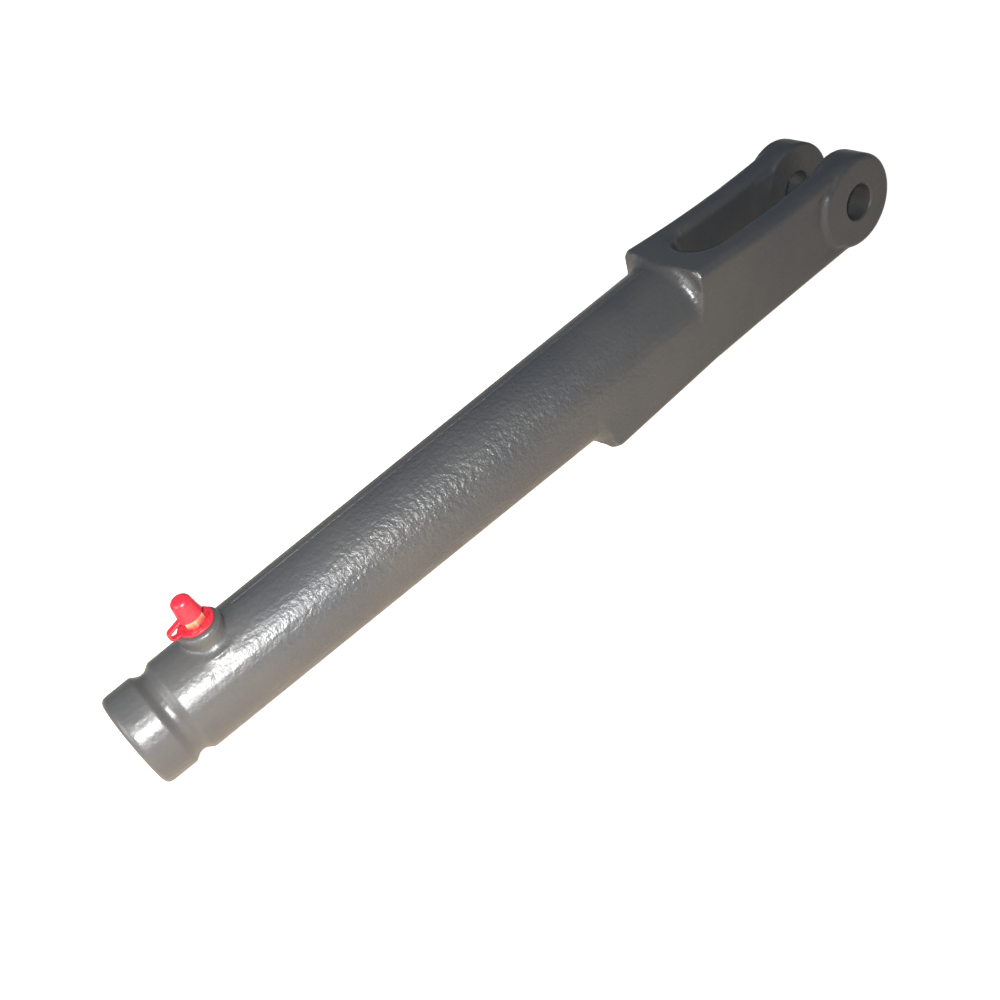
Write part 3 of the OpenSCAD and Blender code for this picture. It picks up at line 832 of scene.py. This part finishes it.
# %% Finish a moulded piece
def moulded(obj, body, slot, *nodes):
    """Gives a red piece its finish, its body and the nodes it stands for."""
    obj.data.materials.clear()
    obj.data.materials.append(red_material)
    sharpen(obj, 50)
    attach(obj, body)
    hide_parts(*nodes)
    print(obj.name, len(obj.data.polygons), "faces")
    return obj


# %% The cap
cap_low, cap_high = (corner.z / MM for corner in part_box("dust_cap"))
CAP_R, CAP_TOP_R, CAP_ROUND, CAP_HOLE = 5.9, 4.9, 3.0, 3.6
cap_profile = [(0, cap_high), (1.2, cap_high - 0.03)]
cap_profile += arc((CAP_TOP_R - CAP_ROUND, cap_high - CAP_ROUND), CAP_ROUND, 84, 2, 12)
cap_profile += [(5.2, cap_low + 5.0), (5.5, cap_low + 2.2), (5.68, cap_low + 1.5)]
cap_profile += arc((CAP_R - 0.4, cap_low + 0.4), 0.4, 10, -90, 6)
cap_profile += [(CAP_HOLE + 0.3, cap_low), (CAP_HOLE, cap_low + 0.3),
                (CAP_HOLE, cap_high - 1.8), (CAP_HOLE - 0.4, cap_high - 1.4), (0, cap_high - 1.4)]
moulded(turned("red_cap", cap_profile, (NIPPLE_X, 0, 0), "Z", 72), "cap", "cap", "dust_cap")

# %% The ring
ring_low, ring_high = (corner.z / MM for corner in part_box("tether_ring"))
RING_R, RING_HOLE, RING_EDGE = 8.7, 4.28, 0.5
RIM_W, DISH = 1.9, 0.45
ring_profile = arc((RING_R - RING_EDGE, ring_low + RING_EDGE), RING_EDGE, -90, 0, 5)
ring_profile += arc((RING_R - RING_EDGE, ring_high - RING_EDGE), RING_EDGE, 0, 90, 5)
ring_profile += arc((RING_R - RIM_W + 0.3, ring_high - 0.3), 0.3, 90, 160, 3)
ring_profile += [(RING_R - RIM_W - 0.2, ring_high - DISH)]
ring_profile += arc((RING_HOLE + 0.2, ring_high - DISH - 0.2), 0.2, 90, 180, 3)
ring_profile += arc((RING_HOLE + 0.3, ring_low + 0.3), 0.3, 180, 270, 3)
moulded(turned("red_ring", ring_profile, (NIPPLE_X, 0, 0), "Z", 72, ring=True),
        "tether", "tether_ring", "tether_ring")

# %% [markdown]
# ## The strap
# The strap leaves the rim of the ring, turns up in a small loop and comes back
# to the rim of the cap. It follows a path, so a short Geometry Nodes tree
# sweeps a flat section with round corners along a curve.

# %% The path of the strap
STRAP_W, STRAP_T, BEND_R = 3.2, 1.3, 2.2
strap_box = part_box("tether_strap")
strap_low = strap_box[0].z / MM + STRAP_T / 2
strap_high = cap_low + STRAP_T / 2
bend_x = strap_box[0].x / MM - NIPPLE_X + BEND_R + STRAP_T / 2
bend_z = strap_low + BEND_R
to_rim = Vector((-CAP_R - bend_x, strap_high - bend_z))
tilt = math.degrees(math.atan2(to_rim.y, to_rim.x) - math.asin(BEND_R / to_rim.length))
path = [(-7.2, strap_low), (-8.2, strap_low)]
path += arc((bend_x, bend_z), BEND_R, 270, 90 + tilt, 18)
leave = Vector(path[-1])
rim = Vector((-CAP_R, strap_high))
path += [tuple(leave.lerp(rim, 0.5)), tuple(rim), (-CAP_R + 1.0, strap_high + 0.1)]

curve = bpy.data.curves.new("strap_path", "CURVE")
curve.dimensions = "3D"
spline = curve.splines.new("POLY")
spline.points.add(len(path) - 1)
for point, (x, z) in zip(spline.points, path):
    point.co = ((NIPPLE_X + x) * MM, 0, z * MM, 1)
path_object = link(bpy.data.objects.new("strap_path", curve))
print("strap path:", len(path), "points")

# %% A tree that sweeps a flat strip

strip_tree, inputs, output = new_tree("moulded_strip", [
    ("Width", "NodeSocketFloat", STRAP_W * MM), ("Thickness", "NodeSocketFloat", STRAP_T * MM),
    ("Corner", "NodeSocketFloat", 0.3 * MM), ("Path", "NodeSocketObject", None),
    ("Finish", "NodeSocketMaterial", None)])
taken = strip_tree.nodes.new("GeometryNodeObjectInfo")
strip_tree.links.new(inputs.outputs["Path"], taken.inputs[0])
flat = strip_tree.nodes.new("GeometryNodeCurvePrimitiveQuadrilateral")
strip_tree.links.new(inputs.outputs["Width"], flat.inputs["Width"])
strip_tree.links.new(inputs.outputs["Thickness"], flat.inputs["Height"])
rounded = strip_tree.nodes.new("GeometryNodeFilletCurve")
rounded.mode = "POLY"
rounded.inputs["Count"].default_value = 4
strip_tree.links.new(flat.outputs[0], rounded.inputs["Curve"])
strip_tree.links.new(inputs.outputs["Corner"], rounded.inputs["Radius"])
sweep = strip_tree.nodes.new("GeometryNodeCurveToMesh")
sweep.inputs["Fill Caps"].default_value = True
strip_tree.links.new(taken.outputs["Geometry"], sweep.inputs["Curve"])
strip_tree.links.new(rounded.outputs[0], sweep.inputs["Profile Curve"])
close_tree(strip_tree, sweep.outputs[0], output, inputs.outputs["Finish"])

# %% Sweep the strap
strap = link(bpy.data.objects.new("red_strap", bpy.data.meshes.new("red_strap")))
run_tree(strap, strip_tree, {"Path": path_object, "Finish": red_material})
bpy.data.objects.remove(path_object)
print("strap box mm:", [round(v / MM, 2) for v in (*strap.bound_box[0], *strap.bound_box[6])])

# %% Finish the strap
strap.data.materials.clear()
strap.data.materials.append(red_material)
sharpen(strap, 50)
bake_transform(strap)
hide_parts("tether_strap")

# %% [markdown]
# ## Sizes
# The dressed model must keep the size of the frame. The box of the frame is
# printed in millimetres.

# %% Print the frame's size
print("cad box mm:", [round(v / MM, 2) for v in (*cad_low, *cad_high)])
